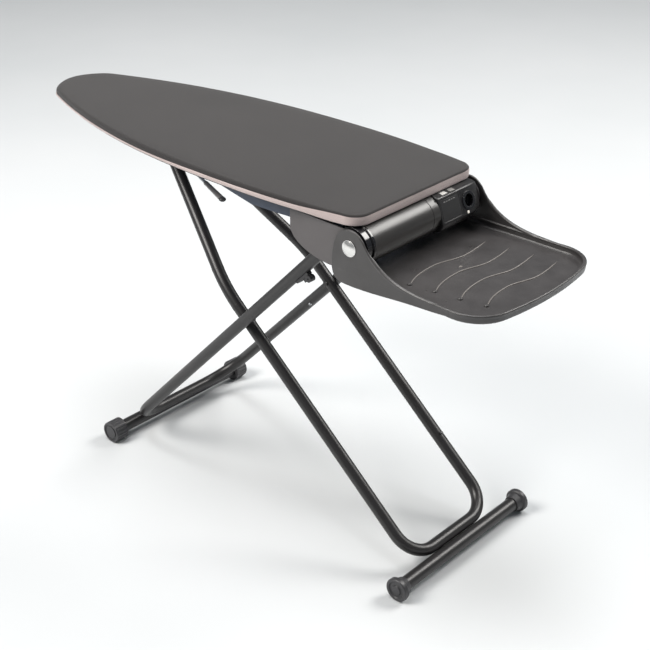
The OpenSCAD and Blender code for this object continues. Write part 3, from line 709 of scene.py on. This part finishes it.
def ear_outline(curve):
    """Pivot disc, sloping lower edge that runs into the rim, and the curved upper edge."""
    front = [(-60, 831), (-64.3, 812), (-66.8, 794), (-67.6, 776), (-65.2, 759), (-59, 746.8), (-49, 740.5)]
    low = [(-34, 737.8), (-10, 737.2), (24, 738.4), (60, 741.0), (110, 745.6), (150, 748.8), (190, 751.0)]
    low += [(215, 752.6), (235, 754.3), (250, 756.0)]
    edge = smooth_loop([(behind(a), z / 1000, 0) for a, z in front + low], 3, closed=False)
    outline = [Vector(p) for p in arc(*HUB, EAR_R, range(38, 151, 5))]
    outline += [Vector((p.x, p.y)) for p in edge]
    outline += [Vector((behind(250), 0.763)), Vector((behind(250), 0.7712))]
    outline += [Vector((behind(250 - 9 * i), 0.7712 + 0.000075 * i)) for i in range(1, 9)]
    return outline + curve[:-1]


def ear_bead(sh, s, curve):
    """Bead that carries the rim up the curved edge and round the disc, on side s."""
    y = s * (W - 0.0036)
    start = [Vector((behind(215), 0.7715)), Vector((behind(196), 0.7716))]
    path = [Vector((q.x, y, q.y - 0.0012)) for q in start + curve]
    path += [Vector((a, y, z)) for a, z in arc(*HUB, EAR_R - 0.0015, range(42, 105, 6))]
    rad = []
    for i, q in enumerate(path):
        # near the pivot the bead stays within the ear's thickness, clear of the side bracket
        thin = 1 - ease(math.hypot(q.x - HUB[0], q.z - HUB[1]), 0.050, 0.066)
        full = 0.0026 + 0.0016 * math.sin(min(1.0, i / 5) * math.pi / 2)
        q.y += s * 0.0010 * thin
        rad.append(full + (0.0023 - full) * thin)
    sh.tube(path, rad, sides=14, up=(0, 1, 0))


def tray_piece():
    sh = Shells()
    tray_pan(sh)
    curve = ear_curve()
    outline = ear_outline(curve)
    for s in (-1, 1):
        y0, y1 = (-W, -W + THICK) if s < 0 else (W - THICK, W)
        sh.plate(outline, y0, y1, 0.0013)
        ear_bead(sh, s, curve)
    # ribs under the floor
    rib = [(-20, 752.3), (-16, 748.8), (-10, 748.0), (276, 748.0), (284, 749.0), (290, 752.3)]
    rib = [Vector((behind(a), z / 1000)) for a, z in rib]
    for y in (-0.120, -0.060, 0.0, 0.060, 0.120):
        sh.plate(rib, y - 0.0015, y + 0.0015, 0.0005, 2)
    o = sh.done("tray_shell", "tray", "iron_tray")
    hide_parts("tray")


def rib_x(u):
    """Sideways sway of an S-shaped rib at a share u of its length."""
    turn = 0.68
    if u < turn / 2:
        phase = math.pi * math.sqrt(u / (turn / 2))
    elif u < turn:
        phase = 2 * math.pi * u / turn
    else:
        phase = 2 * math.pi * (u - turn) / 1.25
    return 0.0015 + 0.0095 * math.cos(phase)


def tray_details():
    ribs, nubs = Shells(), Shells()
    # a nub's radius and height above the floor, in millimetres
    nub = ((5.6, -0.3), (5.3, 0.6), (4.7, 1.9), (4.2, 3.0), (3.5, 3.6), (2.4, 3.7), (1.4, 3.2), (0.5, 3.1))
    # each rib's distance behind the rear edge and its two ends, in millimetres
    for at, y0, y1 in ((86, -142, 138), (146, -132, 146), (206, -124, 153), (265, -113, 156)):
        path, rad = [], []
        for i in range(61):
            u = i / 60
            path.append(Vector((behind(at) + rib_x(u), (y0 + (y1 - y0) * u) / 1000, FLOOR + 0.0004)))
            rad.append(0.0016 * min(1.0, (0.25 + 8 * (1 - u)), 0.7 + 6 * u))
        ribs.tube(path, rad, sides=10, squash=1.15)
        cx, cy = behind(at + 12), (y0 - 6) / 1000
        nubs.loft([[Vector((cx + a, cy + b_, FLOOR + h / 1000)) for a, b_ in circle(r / 1000, 28)]
                   for r, h in nub])
    o = ribs.done("floor_ribs", "rib", "iron_tray")
    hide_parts("tray_ribs")
    o = nubs.done("floor_nubs", "tray", "iron_tray")
    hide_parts("tray_nubs")


tray_piece()
tray_details()


# ---------------------------------------------------------------- control box
def rounded_loop(points, radii, steps=5):
    """Closed x-z outline with its corners rounded; radius 0 keeps a point."""
    out, n = [], len(points)
    for i in range(n):
        p, r = Vector(points[i]), radii[i]
        a, c = Vector(points[i - 1]) - p, Vector(points[(i + 1) % n]) - p
        if r <= 0:
            out.append(p)
            continue
        reach = min(r / math.tan(a.angle(c) / 2), 0.45 * min(a.length, c.length))
        p0, p1 = p + a.normalized() * reach, p + c.normalized() * reach
        for k in range(steps + 1):
            u = k / steps
            out.append(p0 * (1 - u) ** 2 + p * (2 * u * (1 - u)) + p1 * u * u)
    return out


# corners of the control box's section, as (x behind the rear edge, z): top, panel top, panel bottom
BOX_TOP = Vector((0.0, 0.8706))
PANEL_TOP = Vector((0.016, 0.866))
PANEL_LOW = Vector((0.036, 0.806))


def control_shape():
    """The box's outer body: a round back, a sloping front panel and a domed far end."""
    back = arc(HUB[0] - REAR, HUB[1], 0.046, range(104, 271, 6))
    corners = [(0.008, 0.7825), (0.027, 0.791), PANEL_LOW, PANEL_TOP, BOX_TOP]
    prof = rounded_loop(back + corners, [0] * len(back) + [0.004, 0.010, 0.008, 0.0055, 0.005])
    mid = Vector((-0.006, 0.852))
    # the two ends, the length of the dome, and the small roundings at the far and near end
    y0, y1, dome, soft, lip = 0.0454, 0.1960, 0.044, 0.007, 0.0022

    def rounding(u):
        return 1 - math.sqrt(max(0.0, 1 - u * u))

    rings = []
    ys = [y0 + v for v in (0.0, 0.0003, 0.0010, lip)] + [0.056, 0.120, 0.150]
    ys += [y1 - dome + dome * math.sin(math.pi / 2 * k / 16) for k in range(17)]
    for y in ys:
        size = 1 - 0.40 * rounding(min(1.0, max(0.0, y - y1 + dome) / dome))
        size -= 0.16 * rounding(min(1.0, max(0.0, y - y1 + soft) / soft))
        near = 0.0012 * rounding(1 - min(1.0, (y - y0) / lip))
        ring = []
        for p in prof:
            q = mid + (p - mid) * size
            q = q - (q - mid).normalized() * near
            ring.append(Vector((REAR + q.x, y, q.y)))
        rings.append(ring)
    return Shells().loft(rings)


def face(start, end):
    """Direction along a flat face of the box from start to end, and its outward direction."""
    run = (end - start).normalized()
    return run, Vector((-run.y, run.x))


def sink(sh, centre, axes, y, outline, low, high):
    """Prism over an outline in a face's own directions, from low to high along its outward one."""
    run, out = axes
    rings = []
    for h in (low, high):
        c = Vector((REAR, 0)) + centre + out * h
        rings.append([Vector((c.x + run.x * a, y + b_, c.y + run.y * a)) for a, b_ in outline])
    sh.loft(rings)


def slab_outline(a, b_, r):
    corners = [(-a, -b_), (a, -b_), (a, b_), (-a, b_)]
    return [tuple(v) for v in rounded_loop(corners, [r] * 4, 4)]


def control_case():
    o = control_shape().done("control_case", "box", "ironing_top")
    panel, top = face(PANEL_TOP, PANEL_LOW), face(BOX_TOP, PANEL_TOP)
    mid = (PANEL_TOP + PANEL_LOW) / 2
    lamp_at = PANEL_TOP + (PANEL_LOW - PANEL_TOP) * 0.9
    cuts = Shells()
    # label plate, socket, lamp, the groove between panel and socket, and the two rockers
    sink(cuts, mid, panel, 0.084, slab_outline(0.0250, 0.0330, 0.005), -0.0012, 0.004)
    sink(cuts, mid, panel, 0.148, circle(0.0193, 56), -0.0176, 0.005)
    sink(cuts, lamp_at, panel, 0.139, circle(0.0026, 20), -0.006, 0.004)
    sink(cuts, mid, panel, 0.1225, slab_outline(0.0280, 0.0006, 0.0002), -0.0010, 0.004)
    for y in (0.076, 0.104):
        sink(cuts, (PANEL_TOP + BOX_TOP) / 2, top, y, slab_outline(0.0062, 0.0094, 0.0012), -0.009, 0.004)
    c = cuts.done("control_cuts", "box", "ironing_top")
    mod = o.modifiers.new("openings", "BOOLEAN")
    mod.operation = "DIFFERENCE"
    mod.solver = "EXACT"
    mod.object = c
    bpy.context.view_layer.update()
    opened = bpy.data.meshes.new_from_object(o.evaluated_get(bpy.context.evaluated_depsgraph_get()))
    o.modifiers.clear()
    o.data = opened
    bpy.data.objects.remove(c)
    opened.set_sharp_from_angle(angle=math.radians(34))
    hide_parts("control_box")


def panel_marks():
    """Plain printed dashes along the upper edge of the panel."""
    run, out = face(PANEL_TOP, PANEL_LOW)
    c = PANEL_TOP + run * 0.0125 + out * 0.00032
    wide = 0.0009
    sh = Shells()
    for y, long_ in ((0.066, 0.006), (0.0745, 0.004), (0.083, 0.007), (0.092, 0.004), (0.1005, 0.006)):
        dash = [(-wide, -long_ / 2), (wide, -long_ / 2), (wide, long_ / 2), (-wide, long_ / 2)]
        rings = []
        for h, k in ((-0.0002, 1.0), (0.00008, 1.0), (0.00014, 0.7)):
            q = Vector((REAR, 0)) + c + out * h
            rings.append([Vector((q.x + run.x * a * k, y + b_ * k, q.y + run.y * a * k)) for a, b_ in dash])
        sh.loft(rings)
    o = sh.done("panel_marks", "print", "ironing_top")


control_case()
panel_marks()


# ---------------------------------------------------------------- lever grip
def lever_sleeve():
    """Oval sleeve on the end of the lever rod, with a darker tip."""
    lo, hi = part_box("lever_grip")
    z = (lo.z + hi.z) / 2
    pivot = Vector((REAR - 0.582, -0.127, z))
    end = Vector((REAR - 0.406, -0.202, z))
    run = (end - pivot).normalized()
    side = Vector((0, 0, 1)).cross(run).normalized()

    def ovals(sections):
        """Sections as (distance from the end, half width, half height), in millimetres."""
        rings = []
        for s, wide, high in sections:
            p = end + run * (s / 1000)
            rings.append([p + side * (wide / 1000 * a) + Vector((0, 0, high / 1000 * b_))
                          for a, b_ in circle(1.0, 28)])
        return Shells().loft(rings)

    start = [(-118, 4.1, 4.1), (-117.4, 5.2, 5.0), (-114, 5.7, 5.2), (-90, 6.2, 4.9)]
    rest = [(-60, 6.8, 4.6), (-30, 7.4, 4.5), (-13, 7.7, 4.5), (-11, 7.6, 4.4)]
    o = ovals(start + rest).done("grip_sleeve", "grip", "height_lever")
    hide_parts("lever_grip")
    tip = [(-12, 7.2, 4.2), (-11.5, 8.1, 5.0), (-8, 8.4, 5.3), (-4, 8.0, 5.1), (-1.5, 6.6, 4.2)]
    tip += [(-0.3, 4.4, 2.9), (0, 2.0, 1.4)]
    o = ovals(tip).done("grip_tip", "rubber", "height_lever")


lever_sleeve()


# ---------------------------------------------------------------- floor, light and camera
def studio_floor():
    me = bpy.data.meshes.new("studio_floor")
    s = 30.0
    me.from_pydata([(-s, -s, 0), (s, -s, 0), (s, s, 0), (-s, s, 0)], [], [(0, 1, 2, 3)])
    o = bpy.data.objects.new("studio_floor", me)
    scene.collection.objects.link(o)
    m, t, b = new_material("studio_floor_paint")
    at = put(t, "ShaderNodeTexCoord").outputs["Object"]
    shade = ramp(t, noise_of(t, at, 0.7, 3.0), [(0.3, (0.66, 0.68, 0.69)), (0.7, (0.70, 0.715, 0.725))])
    t.links.new(shade, b.inputs["Base Color"])
    t.links.new(spread(t, noise_of(t, at, 6.0, 4.0), 0.3, 0.7, 0.62, 0.72), b.inputs["Roughness"])
    b.inputs["Specular IOR Level"].default_value = 0.2
    me.materials.append(m)


def studio_air():
    w = bpy.data.worlds.new("studio_air")
    scene.world = w
    w.use_nodes = True
    bg = w.node_tree.nodes["Background"]
    bg.inputs["Color"].default_value = (0.80, 0.86, 0.92, 1)
    bg.inputs["Strength"].default_value = 0.20


def softbox(name, place, aim, size, power, colour=(1, 1, 1)):
    """Square area light at place, turned towards aim."""
    light = bpy.data.lights.new(name, "AREA")
    light.shape = "RECTANGLE"
    light.size, light.size_y = size, size
    light.energy = power
    light.color = colour
    o = bpy.data.objects.new(name, light)
    scene.collection.objects.link(o)
    o.location = place
    o.rotation_euler = (Vector(aim) - Vector(place)).to_track_quat("-Z", "Y").to_euler()


def photo_camera():
    data = bpy.data.cameras.new("photo_view")
    cam = bpy.data.objects.new("photo_view", data)
    scene.collection.objects.link(cam)
    cam.location = (2.1105, -2.1713, 2.0305)
    cam.rotation_euler = (math.radians(61.88), 0.0, math.radians(42.13))
    data.lens = 75.16
    data.sensor_width = 36.0
    data.clip_end = 200.0
    scene.camera = cam


studio_floor()
studio_air()
softbox("key_softbox", (-2.2, -4.3, 4.9), (0.1, 0, 0.6), 2.9, 390, (1.0, 0.97, 0.93))
softbox("back_softbox", (2.3, 3.9, 4.7), (0.1, 0, 0.6), 2.7, 262, (1.0, 0.98, 0.95))
softbox("top_softbox", (-0.5, 0.2, 6.2), (0.1, 0, 0.5), 3.2, 226)
photo_camera()
scene.view_settings.view_transform = "Standard"
